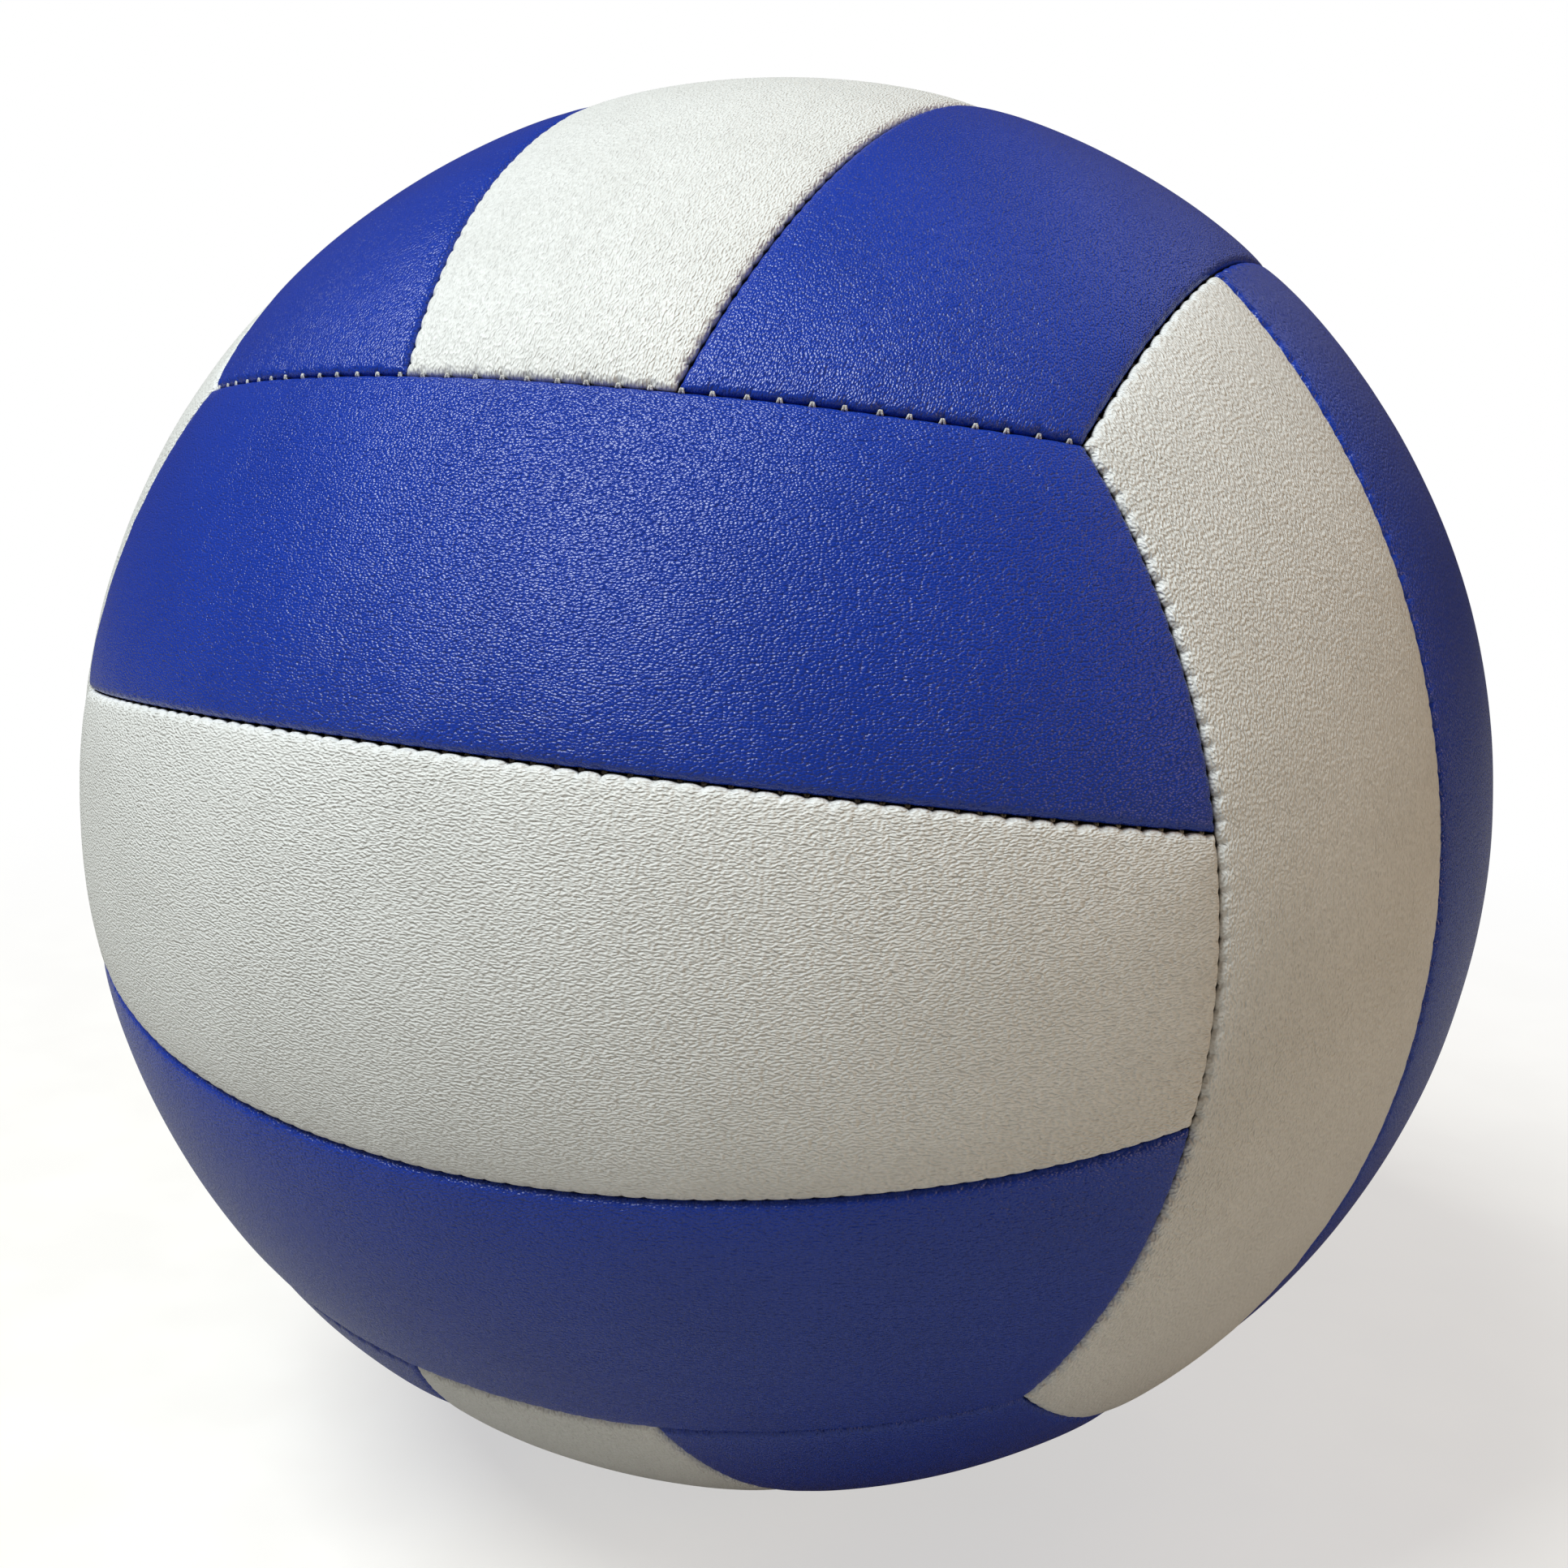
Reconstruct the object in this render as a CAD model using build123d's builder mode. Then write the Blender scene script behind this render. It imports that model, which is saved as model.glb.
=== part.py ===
"""Machine-sewn indoor volleyball: eighteen padded panels, six faces of three strips, over an air bladder."""
import os
from math import acos, atan2, cos, degrees, radians, sin, sqrt
from build123d import *

# The ball, in millimetres. Widths on the ball are measured along its surface.
BALL_DIAMETER = 210.0
FACE_WIDTH = 141.8
MIDDLE_STRIP_WIDTH = 51.4
MIDDLE_STRIP_END_WIDTH = 36.0

# Panel build-up, from the outside in.
COVER_THICKNESS = 0.9
FOAM_THICKNESS = 3.2
LINING_THICKNESS = 0.4
GLUE_LINE = 0.05

# Seams: the covers turn in over a roll and stand wall against wall, leaning a few degrees off the radius.
# A strip's corners are rounded more than its edges are rolled.
SEAM_GAP = 0.2
EDGE_ROLL_RADIUS = 2.4
CORNER_EXTRA_RADIUS = 0.6
STRIP_WALL_LEAN = 2.0
EDGE_WALL_LEAN = 1.0

# Stitching thread, lying in the groove between two rolled edges.
THREAD_DIAMETER = 0.6
THREAD_CLEARANCE = 0.06
THREAD_END_GAP = 1.0

# Bladder.
BLADDER_THICKNESS = 0.9
BLADDER_CLEARANCE = 0.1

# Valve, on the middle panel at the back.
STEM_DIAMETER = 9.0
STEM_RECESS = 0.7
STEM_CLEARANCE = 0.25
STEM_HOLE_ROUND = 0.5
VALVE_FLANGE_DIAMETER = 28.0
VALVE_FLANGE_THICKNESS = 1.5
VALVE_BOSS_DIAMETER = 11.0
VALVE_BOSS_LENGTH = 8.0
CORE_HEAD_DIAMETER = 6.2
CORE_HEAD_THICKNESS = 1.4
CORE_SHANK_DIAMETER = 4.6
CORE_CLEARANCE = 0.05
CORE_NOSE_CHAMFER = 0.8
NEEDLE_BORE_DIAMETER = 1.9
NEEDLE_FUNNEL_DIAMETER = 3.2

# How far a cutter runs past what it cuts: a length, and an angle about a seam's axis.
OVERRUN = 6.0
OVERRUN_ANGLE = 12.0

# Two radii closer than this count as the same.
SAME_RADIUS = 0.001

BALL_RADIUS = BALL_DIAMETER / 2
COVER_INNER = BALL_RADIUS - COVER_THICKNESS
FOAM_OUTER = COVER_INNER - GLUE_LINE
FOAM_INNER = FOAM_OUTER - FOAM_THICKNESS
LINING_OUTER = FOAM_INNER - GLUE_LINE
PANEL_INNER = LINING_OUTER - LINING_THICKNESS
BLADDER_OUTER = PANEL_INNER - BLADDER_CLEARANCE
BLADDER_INNER = BLADDER_OUTER - BLADDER_THICKNESS
WALL_OUTSIDE = SEAM_GAP / 2
WALL_INSIDE = WALL_OUTSIDE + COVER_THICKNESS
PAD_EDGE = WALL_INSIDE + GLUE_LINE
PAD_EDGE_ROLL = EDGE_ROLL_RADIUS - COVER_THICKNESS - GLUE_LINE
CORNER_RADIUS = EDGE_ROLL_RADIUS + CORNER_EXTRA_RADIUS
CUTTER_WIDTH = BALL_RADIUS / 2

# The thread is held this far from the two rolls, and so at this depth below the ball's surface.
roll_to_thread = EDGE_ROLL_RADIUS + THREAD_CLEARANCE + THREAD_DIAMETER / 2
roll_to_seam = EDGE_ROLL_RADIUS + WALL_OUTSIDE
THREAD_RADIUS_IN_BALL = BALL_RADIUS - EDGE_ROLL_RADIUS + sqrt(roll_to_thread**2 - roll_to_seam**2)
STEM_HOLE_RADIUS = STEM_DIAMETER / 2 + STEM_CLEARANCE


def surface_angle(length):
    """Angle at the ball's centre, in degrees, under a length of the ball's surface."""
    return degrees(length / BALL_RADIUS)


def unit(x, y, z):
    """Direction from the ball's centre."""
    return Vector(x, y, z).normalized()


class Seam:
    """A seam line on the ball: part of the circle through three directions, with its axis on the left."""

    def __init__(self, first, middle, last, lean):
        self.axis = (middle - first).cross(last - middle).normalized()
        self.lean = lean
        self.half_angle = degrees(acos(self.axis.dot(middle)))
        self.outward = (middle - self.axis * self.axis.dot(middle)).normalized()
        self.across = (last - first).normalized()
        self.half_sweep = degrees(atan2(last.dot(self.across), last.dot(self.outward)))

    def polar(self, aside, radius):
        """Angle from the axis, in degrees, a length to the seam's side and on a leaning wall at a radius."""
        return self.half_angle + surface_angle(aside) + self.lean * (1 - radius / BALL_RADIUS)

    def spoke(self, turn):
        """Unit vector square to the axis, an angle in degrees from the seam's middle."""
        return self.outward * cos(radians(turn)) + self.across * sin(radians(turn))


# One face in its own frame: +Z through the middle of the face, strips along X, side by side along Y.
FACE_ANGLE = radians(surface_angle(FACE_WIDTH / 2))
STRIP_ANGLE = radians(surface_angle(MIDDLE_STRIP_WIDTH / 2))
side_middle = unit(0, sin(FACE_ANGLE), cos(FACE_ANGLE))
end_middle = unit(cos(FACE_ANGLE), 0, sin(FACE_ANGLE))
side_seam = Seam(unit(-1, 1, 1), side_middle, unit(1, 1, 1), EDGE_WALL_LEAN)
end_seam = Seam(unit(1, -1, 1), end_middle, unit(1, 1, 1), EDGE_WALL_LEAN)

# The strip seam ends on the two end seams, half the middle strip's end width from the middle.
strip_end_y = MIDDLE_STRIP_END_WIDTH / 2 / BALL_RADIUS
strip_end_reach = sqrt(1 - strip_end_y**2)
end_axis_angle = atan2(end_seam.axis.Z, end_seam.axis.X)
strip_end_angle = end_axis_angle - acos(cos(radians(end_seam.half_angle)) / strip_end_reach)
strip_end_x = strip_end_reach * cos(strip_end_angle)
strip_end_z = strip_end_reach * sin(strip_end_angle)
strip_middle = unit(0, sin(STRIP_ANGLE), cos(STRIP_ANGLE))
strip_end = unit(strip_end_x, strip_end_y, strip_end_z)
strip_seam = Seam(unit(-strip_end_x, strip_end_y, strip_end_z), strip_middle, strip_end, STRIP_WALL_LEAN)


def seam_block(seam, near, far, inner, outer):
    """Curved block along a seam, between two lengths to its side and between two radii."""

    def corner(aside, radius):
        angle = radians(seam.polar(aside, radius))
        return Vector(radius * cos(angle), radius * sin(angle))

    def crown(radius):
        return (corner(near, radius) + corner(far, radius)).normalized() * radius

    half_turn = seam.half_sweep + OVERRUN_ANGLE
    start = seam.spoke(-half_turn)
    with BuildPart() as block:
        with BuildSketch(Plane(origin=(0, 0, 0), x_dir=seam.axis, z_dir=seam.axis.cross(start))):
            with BuildLine():
                Line(corner(near, inner), corner(near, outer))
                ThreePointArc(corner(near, outer), crown(outer), corner(far, outer))
                Line(corner(far, outer), corner(far, inner))
                ThreePointArc(corner(far, inner), crown(inner), corner(near, inner))
            make_face()
        revolve(axis=Axis((0, 0, 0), seam.axis), revolution_arc=2 * half_turn)
    return block.part


def on_sphere(radius):
    """Filter for edges that lie on a sphere about the ball's centre."""
    return lambda edge: all(abs((edge @ place).length - radius) < SAME_RADIUS for place in (0.1, 0.5, 0.9))


def radial(edge):
    """Filter for edges that run inwards, at the corners of a strip."""
    return abs((edge @ 0).length - (edge @ 1).length) > LINING_THICKNESS / 2


def strip_block(middle, outer, inner, inset, edge_roll):
    """Middle or side strip of the shell between two radii, inset from its seams, its outer edges rolled."""
    cutter = (inner - OVERRUN, outer + OVERRUN)
    end = seam_block(end_seam, -inset, CUTTER_WIDTH, *cutter)
    if middle:
        base = seam_block(strip_seam, inset, MIDDLE_STRIP_WIDTH + OVERRUN, inner, outer)
        beyond = seam_block(strip_seam, -CUTTER_WIDTH, inset, *cutter).rotate(Axis.Z, 180)
    else:
        base = seam_block(strip_seam, -FACE_WIDTH / 2, -inset, inner, outer)
        beyond = seam_block(side_seam, -CUTTER_WIDTH, inset, *cutter)
    with BuildPart() as block:
        add(base)
        add(beyond, mode=Mode.SUBTRACT)
        add(end, mode=Mode.SUBTRACT)
        add(end.rotate(Axis.Z, 180), mode=Mode.SUBTRACT)
        fillet(block.edges().filter_by(radial), CORNER_RADIUS + WALL_OUTSIDE - inset)
        if edge_roll:
            fillet(block.edges().filter_by(on_sphere(outer)), edge_roll)
    return block.part


def cover(middle):
    """Cover of a strip: a shallow tray of sheet with rolled edges and turned-in walls."""
    skin = strip_block(middle, BALL_RADIUS, PANEL_INNER, WALL_OUTSIDE, EDGE_ROLL_RADIUS)
    inner_roll = EDGE_ROLL_RADIUS - COVER_THICKNESS
    hollow = strip_block(middle, COVER_INNER, PANEL_INNER - OVERRUN, WALL_INSIDE, inner_roll)
    with BuildPart() as tray:
        add(skin)
        add(hollow, mode=Mode.SUBTRACT)
    return tray.part


def seam_thread(seam):
    """Thread along a seam, ending a little short of the seams that meet it."""
    angle = radians(seam.polar(0, THREAD_RADIUS_IN_BALL))
    centre = (THREAD_RADIUS_IN_BALL * cos(angle), THREAD_RADIUS_IN_BALL * sin(angle))
    half_turn = seam.half_sweep - degrees(THREAD_END_GAP / centre[1])
    start = seam.spoke(-half_turn)
    with BuildPart() as thread:
        with BuildSketch(Plane(origin=(0, 0, 0), x_dir=seam.axis, z_dir=seam.axis.cross(start))):
            with Locations(centre):
                Circle(THREAD_DIAMETER / 2)
        revolve(axis=Axis((0, 0, 0), seam.axis), revolution_arc=2 * half_turn)
    return thread.part


# One of each piece, in the frame of one face.
middle_cover = cover(middle=True)
side_cover = cover(middle=False)
middle_pad = strip_block(True, FOAM_OUTER, FOAM_INNER, PAD_EDGE, PAD_EDGE_ROLL)
side_pad = strip_block(False, FOAM_OUTER, FOAM_INNER, PAD_EDGE, PAD_EDGE_ROLL)
middle_lining = strip_block(True, LINING_OUTER, PANEL_INNER, PAD_EDGE, None)
side_lining = strip_block(False, LINING_OUTER, PANEL_INNER, PAD_EDGE, None)
strip_thread = seam_thread(strip_seam)
end_thread = seam_thread(end_seam)

# Where each face lies, and the names of its sides and ends in the directions of its own Y and X.
FACES = {
    "front": (Plane((0, 0, 0), x_dir=(1, 0, 0), z_dir=(0, -1, 0)), ("upper", "lower"), ("right", "left")),
    "back": (Plane((0, 0, 0), x_dir=(-1, 0, 0), z_dir=(0, 1, 0)), ("upper", "lower"), ("left", "right")),
    "right": (Plane((0, 0, 0), x_dir=(0, 0, 1), z_dir=(1, 0, 0)), ("front", "back"), ("top", "bottom")),
    "left": (Plane((0, 0, 0), x_dir=(0, 0, 1), z_dir=(-1, 0, 0)), ("back", "front"), ("top", "bottom")),
    "top": (Plane((0, 0, 0), x_dir=(0, 1, 0), z_dir=(0, 0, 1)), ("left", "right"), ("back", "front")),
    "bottom": (Plane((0, 0, 0), x_dir=(0, 1, 0), z_dir=(0, 0, -1)), ("right", "left"), ("back", "front")),
}
VALVE_FACE = "back"

os.makedirs("parts", exist_ok=True)


def keep(part, name):
    """Label a finished piece and write it out."""
    part.label = name
    export_step(part, f"parts/{name}.step")


for face, (plane, sides, ends) in FACES.items():
    has_valve = face == VALVE_FACE

    with BuildPart(plane) as middle_panel:
        add(middle_cover)
        if has_valve:
            Cylinder(STEM_HOLE_RADIUS, 2 * BALL_DIAMETER, mode=Mode.SUBTRACT)
            rim = middle_panel.edges(Select.LAST).filter_by(on_sphere(BALL_RADIUS))
            fillet(rim, STEM_HOLE_ROUND)
    keep(middle_panel.part, f"{face}_middle_panel")

    for side, angle in zip(sides, (0, 180)):
        with BuildPart(plane) as side_panel:
            add(side_cover, rotation=(0, 0, angle))
        keep(side_panel.part, f"{face}_{side}_panel")

    with BuildPart(plane) as foam_pads:
        add(middle_pad)
        if has_valve:
            Cylinder(STEM_HOLE_RADIUS, 2 * BALL_DIAMETER, mode=Mode.SUBTRACT)
        add(side_pad)
        add(side_pad, rotation=(0, 0, 180))
    keep(foam_pads.part, f"{face}_foam_pads")

    with BuildPart(plane) as lining:
        add(middle_lining)
        if has_valve:
            Cylinder(STEM_HOLE_RADIUS, 2 * BALL_DIAMETER, mode=Mode.SUBTRACT)
        add(side_lining)
        add(side_lining, rotation=(0, 0, 180))
    keep(lining.part, f"{face}_lining")

    with BuildPart(plane) as strip_threads:
        add(strip_thread)
        add(strip_thread, rotation=(0, 0, 180))
    keep(strip_threads.part, f"{face}_strip_threads")

    for end, angle in zip(ends, (0, 180)):
        with BuildPart(plane) as edge_thread:
            add(end_thread, rotation=(0, 0, angle))
        keep(edge_thread.part, f"{face}_{end}_edge_thread")

# The bladder and the valve stand on the Y axis, with Y outwards through the valve.
with BuildPart() as bladder:
    Sphere(BLADDER_OUTER, rotation=(90, 0, 0))
    Sphere(BLADDER_INNER, rotation=(90, 0, 0), mode=Mode.SUBTRACT)
    with Locations(Plane.XZ.offset(-BLADDER_OUTER)):
        Cylinder(STEM_DIAMETER / 2 + GLUE_LINE, BLADDER_OUTER, mode=Mode.SUBTRACT)
keep(bladder.part, "bladder")

stem_radius = STEM_DIAMETER / 2
flange_radius = VALVE_FLANGE_DIAMETER / 2
boss_radius = VALVE_BOSS_DIAMETER / 2
flange_top = BLADDER_INNER - GLUE_LINE
flange_bottom = flange_top - VALVE_FLANGE_THICKNESS
boss_end = flange_bottom - VALVE_BOSS_LENGTH
stem_end = BALL_RADIUS - STEM_RECESS
head_seat = stem_end - CORE_HEAD_THICKNESS
head_radius = CORE_HEAD_DIAMETER / 2
shank_radius = CORE_SHANK_DIAMETER / 2
bore_radius = NEEDLE_BORE_DIAMETER / 2
funnel_radius = NEEDLE_FUNNEL_DIAMETER / 2


def on_arc(across, radius):
    """Point of a sphere's section, a distance from the valve's axis."""
    return (across, sqrt(radius**2 - across**2))


with BuildPart() as valve_body:
    with BuildSketch(Plane.XY):
        with BuildLine():
            flange_under = on_arc(boss_radius, flange_bottom)
            rim_under = on_arc(flange_radius, flange_bottom)
            rim_over = on_arc(flange_radius, flange_top)
            flange_over = on_arc(stem_radius, flange_top)
            head_wall = head_radius + CORE_CLEARANCE
            shank_wall = shank_radius + CORE_CLEARANCE
            Polyline((shank_wall, head_seat), (shank_wall, boss_end), (boss_radius, boss_end), flange_under)
            ThreePointArc(flange_under, on_arc((boss_radius + flange_radius) / 2, flange_bottom), rim_under)
            Line(rim_under, rim_over)
            ThreePointArc(rim_over, on_arc((stem_radius + flange_radius) / 2, flange_top), flange_over)
            Polyline(flange_over, (stem_radius, stem_end), (head_wall, stem_end))
            Polyline((head_wall, stem_end), (head_wall, head_seat), (shank_wall, head_seat))
        make_face()
    revolve(axis=Axis.Y)
keep(valve_body.part, "valve_body")

with BuildPart() as valve_core:
    with BuildSketch(Plane.XY):
        with BuildLine():
            Polyline(
                (bore_radius, boss_end),
                (shank_radius - CORE_NOSE_CHAMFER, boss_end),
                (shank_radius, boss_end + CORE_NOSE_CHAMFER),
                (shank_radius, head_seat),
                (head_radius, head_seat),
                (head_radius, stem_end),
                (funnel_radius, stem_end),
                (bore_radius, stem_end - (funnel_radius - bore_radius)),
                close=True,
            )
        make_face()
    revolve(axis=Axis.Y)
keep(valve_core.part, "valve_core")
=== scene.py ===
"""Volleyball: sewn leather panels with rolled, notched edges, stitches, a floor, lamps and a camera."""
import copy
import math

import bpy
import numpy as np
from mathutils import Matrix


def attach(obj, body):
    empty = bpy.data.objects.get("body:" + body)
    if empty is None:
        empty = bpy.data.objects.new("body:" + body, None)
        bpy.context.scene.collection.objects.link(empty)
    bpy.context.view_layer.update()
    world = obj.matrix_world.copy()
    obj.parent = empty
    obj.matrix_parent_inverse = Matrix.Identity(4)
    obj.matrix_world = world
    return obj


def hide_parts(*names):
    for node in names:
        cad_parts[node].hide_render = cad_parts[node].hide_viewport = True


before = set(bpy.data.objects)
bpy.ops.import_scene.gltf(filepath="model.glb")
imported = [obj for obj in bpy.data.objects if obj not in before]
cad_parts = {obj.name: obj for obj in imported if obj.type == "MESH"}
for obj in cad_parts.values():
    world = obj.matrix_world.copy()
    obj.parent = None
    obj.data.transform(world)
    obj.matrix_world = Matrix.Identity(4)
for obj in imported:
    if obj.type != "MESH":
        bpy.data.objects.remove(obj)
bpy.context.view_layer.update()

# The cover. Sizes are in millimetres where no comment says otherwise; meshes are written in metres.
MM = 0.001
RADIUS = 105.0
FACE_WIDTH = 141.8
STRIP_WIDTH = 51.4
STRIP_END_WIDTH = 36.0
HALF_GAP = 0.05
PANEL_DEPTH = 4.55
SKIN = 0.9

# Where each face lies: its own X, Y and Z in the ball's frame, then the names of its sides and ends.
FACES = {
    "front": ((1, 0, 0), (0, 0, 1), (0, -1, 0), ("upper", "lower"), ("right", "left")),
    "back": ((-1, 0, 0), (0, 0, 1), (0, 1, 0), ("upper", "lower"), ("left", "right")),
    "right": ((0, 0, 1), (0, -1, 0), (1, 0, 0), ("front", "back"), ("top", "bottom")),
    "left": ((0, 0, 1), (0, 1, 0), (-1, 0, 0), ("back", "front"), ("top", "bottom")),
    "top": ((0, 1, 0), (-1, 0, 0), (0, 0, 1), ("left", "right"), ("back", "front")),
    "bottom": ((0, 1, 0), (1, 0, 0), (0, 0, -1), ("right", "left"), ("back", "front")),
}
# These faces have a white middle and blue sides. On the others it is the other way round.
WHITE_MIDDLE = ("front", "back", "top", "bottom")
VALVE_PANEL = "back_middle_panel"

# Stitches along the seams. A seam is named by a face and one of its sides or ends. The stitches draw in
# one side of a seam: the middle strip's, and at a face's end the face's own. The other side is slack.
STITCH_PITCH = 2.8
WIDE_STITCH_PITCH = 3.8
WIDE_STITCHES = (("top", "front"), ("right", "top"))
STITCH_DEPTH = 2.0
SHOWN_STITCH_DEPTH = 0.82
SHOWN_STITCHES = (("top", "front"),)
# Neighbour-held seams are drawn in on the other side, and smooth ones are slack on both sides.
NEIGHBOUR_HELD = (("front", "right"),)
SMOOTH_SEAMS = (("front", "lower"),)
PITCH_UNEVENNESS = 0.06
PULL_UNEVENNESS = 0.25
PULL_SEED = 500

# Two strands of thread show at each stitch.
STRAND_RADIUS = 0.17
STRAND_SIDES = 8
STRAND_RINGS = 9
STRAND_START = 0.3
STRAND_LENGTH = 0.5
STRAND_PARTING = 0.08
STRAND_SPREAD = (0.12, 0.2)
STRAND_LIFT = 0.07
STRAND_DIP = 0.3
STRAND_SEED = 900

# Edges of the panels: their roll, what the stitches do to them, and the puckers and dents beside them.
ROLL = 0.95
ROLL_AT_STITCH = 0.12
SLACK_SIDE = 0.3
NOTCH = 0.23
NOTCH_REACH = 1.4
PIT = 0.4
PIT_LENGTH = 0.32
PIT_PLACE = 0.4
PIT_WIDTH = 0.55
PILLOW = 0.55
PILLOW_REACH = 3.0
PUCKER = 0.09
PUCKER_PITCH = 2.6
PUCKER_LENGTH = 16
PUCKER_START = 1.5
PUCKER_REACH = 5
PUCKER_SEED = 11
PUCKER_SEAM_STEP = 7.3
BROAD_DENTS = dict(depth=0.10, size=22, seed=3)
SMALL_DENTS = dict(depth=0.05, size=9, seed=5)

# Meshes: spacing of the grid, its lines near an edge, and its rings round the valve hole.
GRID_STEP = 0.46
EDGE_STEPS = [0.0, 0.12, 0.27, 0.45, 0.67, 0.93, 1.23, 1.57]
INNER_STEP = 4
VALVE_HOLE = 4.75
VALVE_HOLE_ROLL = 0.6
VALVE_RINGS = [0.0, 0.06, 0.15, 0.28, 0.45, 0.66, 0.95, 1.35, 1.9]
VALVE_REACH = 9.0
VALVE_LINES = 21
ROUNDING = 1e-6

# Whole numbers that scramble lattice places into noise.
LATTICE_PRIMES = np.array([73856093, 19349663, 83492791])
SEED_PRIME = 2654435761
SCRAMBLE_PRIME = 1274126177
FIRST_SHIFT = 13
SECOND_SHIFT = 16
POSITIVE_BITS = 0x7FFFFFFF
LOW_BITS = 0xFFFF


def unit(x, y, z):
    """Direction from the ball's centre."""
    direction = np.array([x, y, z], dtype=float)
    return direction / np.linalg.norm(direction)


def smooth(share):
    """A share from 0 to 1, eased at both ends."""
    return share**2 * (3 - 2 * share)


def lattice_noise(points, seed):
    """Smooth noise from -1 to 1 at points, one unit of length between its lattice places."""
    base = np.floor(points).astype(np.int64)
    part = smooth(points - base)
    total = np.zeros(len(points))
    for corner in range(8):
        step = np.array([corner & 1, corner >> 1 & 1, corner >> 2 & 1])
        mixed = np.bitwise_xor.reduce((base + step) * LATTICE_PRIMES, axis=1) ^ seed * SEED_PRIME
        mixed = (mixed ^ mixed >> FIRST_SHIFT) * SCRAMBLE_PRIME & POSITIVE_BITS
        mixed = (mixed ^ mixed >> SECOND_SHIFT) & LOW_BITS
        weight = np.prod(np.where(step == 1, part, 1 - part), axis=1)
        total += weight * (mixed / (LOW_BITS / 2) - 1)
    return total


class Seam:
    """A seam line on the ball: part of the circle through three directions, with its axis on the left."""

    def __init__(self, first, middle, last, held_side):
        axis = np.cross(middle - first, last - middle)
        axis /= np.linalg.norm(axis)
        outward = middle - axis * (axis @ middle)
        self.axis = axis
        self.angle = math.acos(axis @ middle)
        self.outward = outward / np.linalg.norm(outward)
        self.across = (last - first) / np.linalg.norm(last - first)
        half_sweep = math.atan2(last @ self.across, last @ self.outward)
        self.length = 2 * RADIUS * math.sin(self.angle) * half_sweep
        self.held_side = held_side
        self.hold = 1.0
        self.pitch = STITCH_PITCH
        self.thread_depth = STITCH_DEPTH

    def turned(self, rotation, number):
        """The same seam turned about the ball's centre, with a number of its own."""
        other = copy.copy(self)
        other.axis = rotation @ self.axis
        other.outward = rotation @ self.outward
        other.across = rotation @ self.across
        other.number = number
        return other

    def aside(self, points):
        """Distance of points from the seam, in millimetres on the surface, away from the axis."""
        return RADIUS * (np.arccos(np.clip(points @ self.axis, -1, 1)) - self.angle)

    def along(self, points):
        """Place of points along the seam, in millimetres from its middle."""
        turn = np.arctan2(points @ self.across, points @ self.outward)
        return RADIUS * math.sin(self.angle) * turn

    def away(self, points):
        """Unit vectors on the surface that lead away from the axis."""
        lead = (points @ self.axis)[:, None] * points - self.axis
        return lead / np.linalg.norm(lead, axis=1)[:, None]

    def point(self, along, aside):
        """Direction of the point at a place along the seam and a distance from it."""
        turn = along / (RADIUS * math.sin(self.angle))
        polar = self.angle + aside / RADIUS
        spoke = self.outward * math.cos(turn) + self.across * math.sin(turn)
        return self.axis * math.cos(polar) + spoke * math.sin(polar)

    def stitch_places(self):
        """Places of the stitches along the seam, a little unevenly spaced."""
        count = round(self.length / self.pitch) - 1
        step = (self.length - self.pitch) / count
        evenly = (np.arange(count + 1) - count / 2) * step
        random = np.random.default_rng(self.number)
        return evenly + PITCH_UNEVENNESS * self.pitch * random.uniform(-1, 1, count + 1)

    def stitch_pull(self, along):
        """How far the edge is drawn in, and how far it is pitted, at places along the seam: 0 to about 1."""
        places = self.stitch_places()
        random = np.random.default_rng(self.number + PULL_SEED)
        strength = 1 + PULL_UNEVENNESS * random.uniform(-1, 1, len(places))
        right = np.clip(np.searchsorted(places, along), 1, len(places) - 1)
        left = right - 1
        nearest = np.where(np.abs(along - places[left]) < np.abs(along - places[right]), left, right)
        distance = np.abs(along - places[nearest])
        scallop = np.maximum(1 - 2 * distance / self.pitch, 0) ** 2
        pit = np.exp(-((distance / PIT_LENGTH) ** 2))
        return strength[nearest] * scallop, strength[nearest] * pit


# One face in its own frame: +Z through the middle of the face, strips along X, side by side along Y.
face_angle = FACE_WIDTH / 2 / RADIUS
strip_angle = STRIP_WIDTH / 2 / RADIUS
end_middle = unit(math.cos(face_angle), 0, math.sin(face_angle))
end_seam = Seam(unit(1, -1, 1), end_middle, unit(1, 1, 1), -1)
strip_end_y = STRIP_END_WIDTH / 2 / RADIUS
strip_end_reach = math.sqrt(1 - strip_end_y**2)
end_axis_angle = math.atan2(end_seam.axis[2], end_seam.axis[0])
strip_end_angle = end_axis_angle - math.acos(math.cos(end_seam.angle) / strip_end_reach)
strip_end_x = strip_end_reach * math.cos(strip_end_angle)
strip_end_z = strip_end_reach * math.sin(strip_end_angle)
strip_middle = unit(0, math.sin(strip_angle), math.cos(strip_angle))
strip_last = unit(strip_end_x, strip_end_y, strip_end_z)
strip_seam = Seam(unit(-strip_end_x, strip_end_y, strip_end_z), strip_middle, strip_last, 1)

HALF_TURN = np.diag([-1.0, -1.0, 1.0])
MIDDLE_LENGTH = 2 * RADIUS * (math.pi / 2 - face_angle)
SIDE_WIDTH = (FACE_WIDTH - STRIP_WIDTH) / 2


def face_rotation(face):
    """Rotation from a face's own frame to the ball's."""
    return np.array(FACES[face][:3], dtype=float).T


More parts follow.
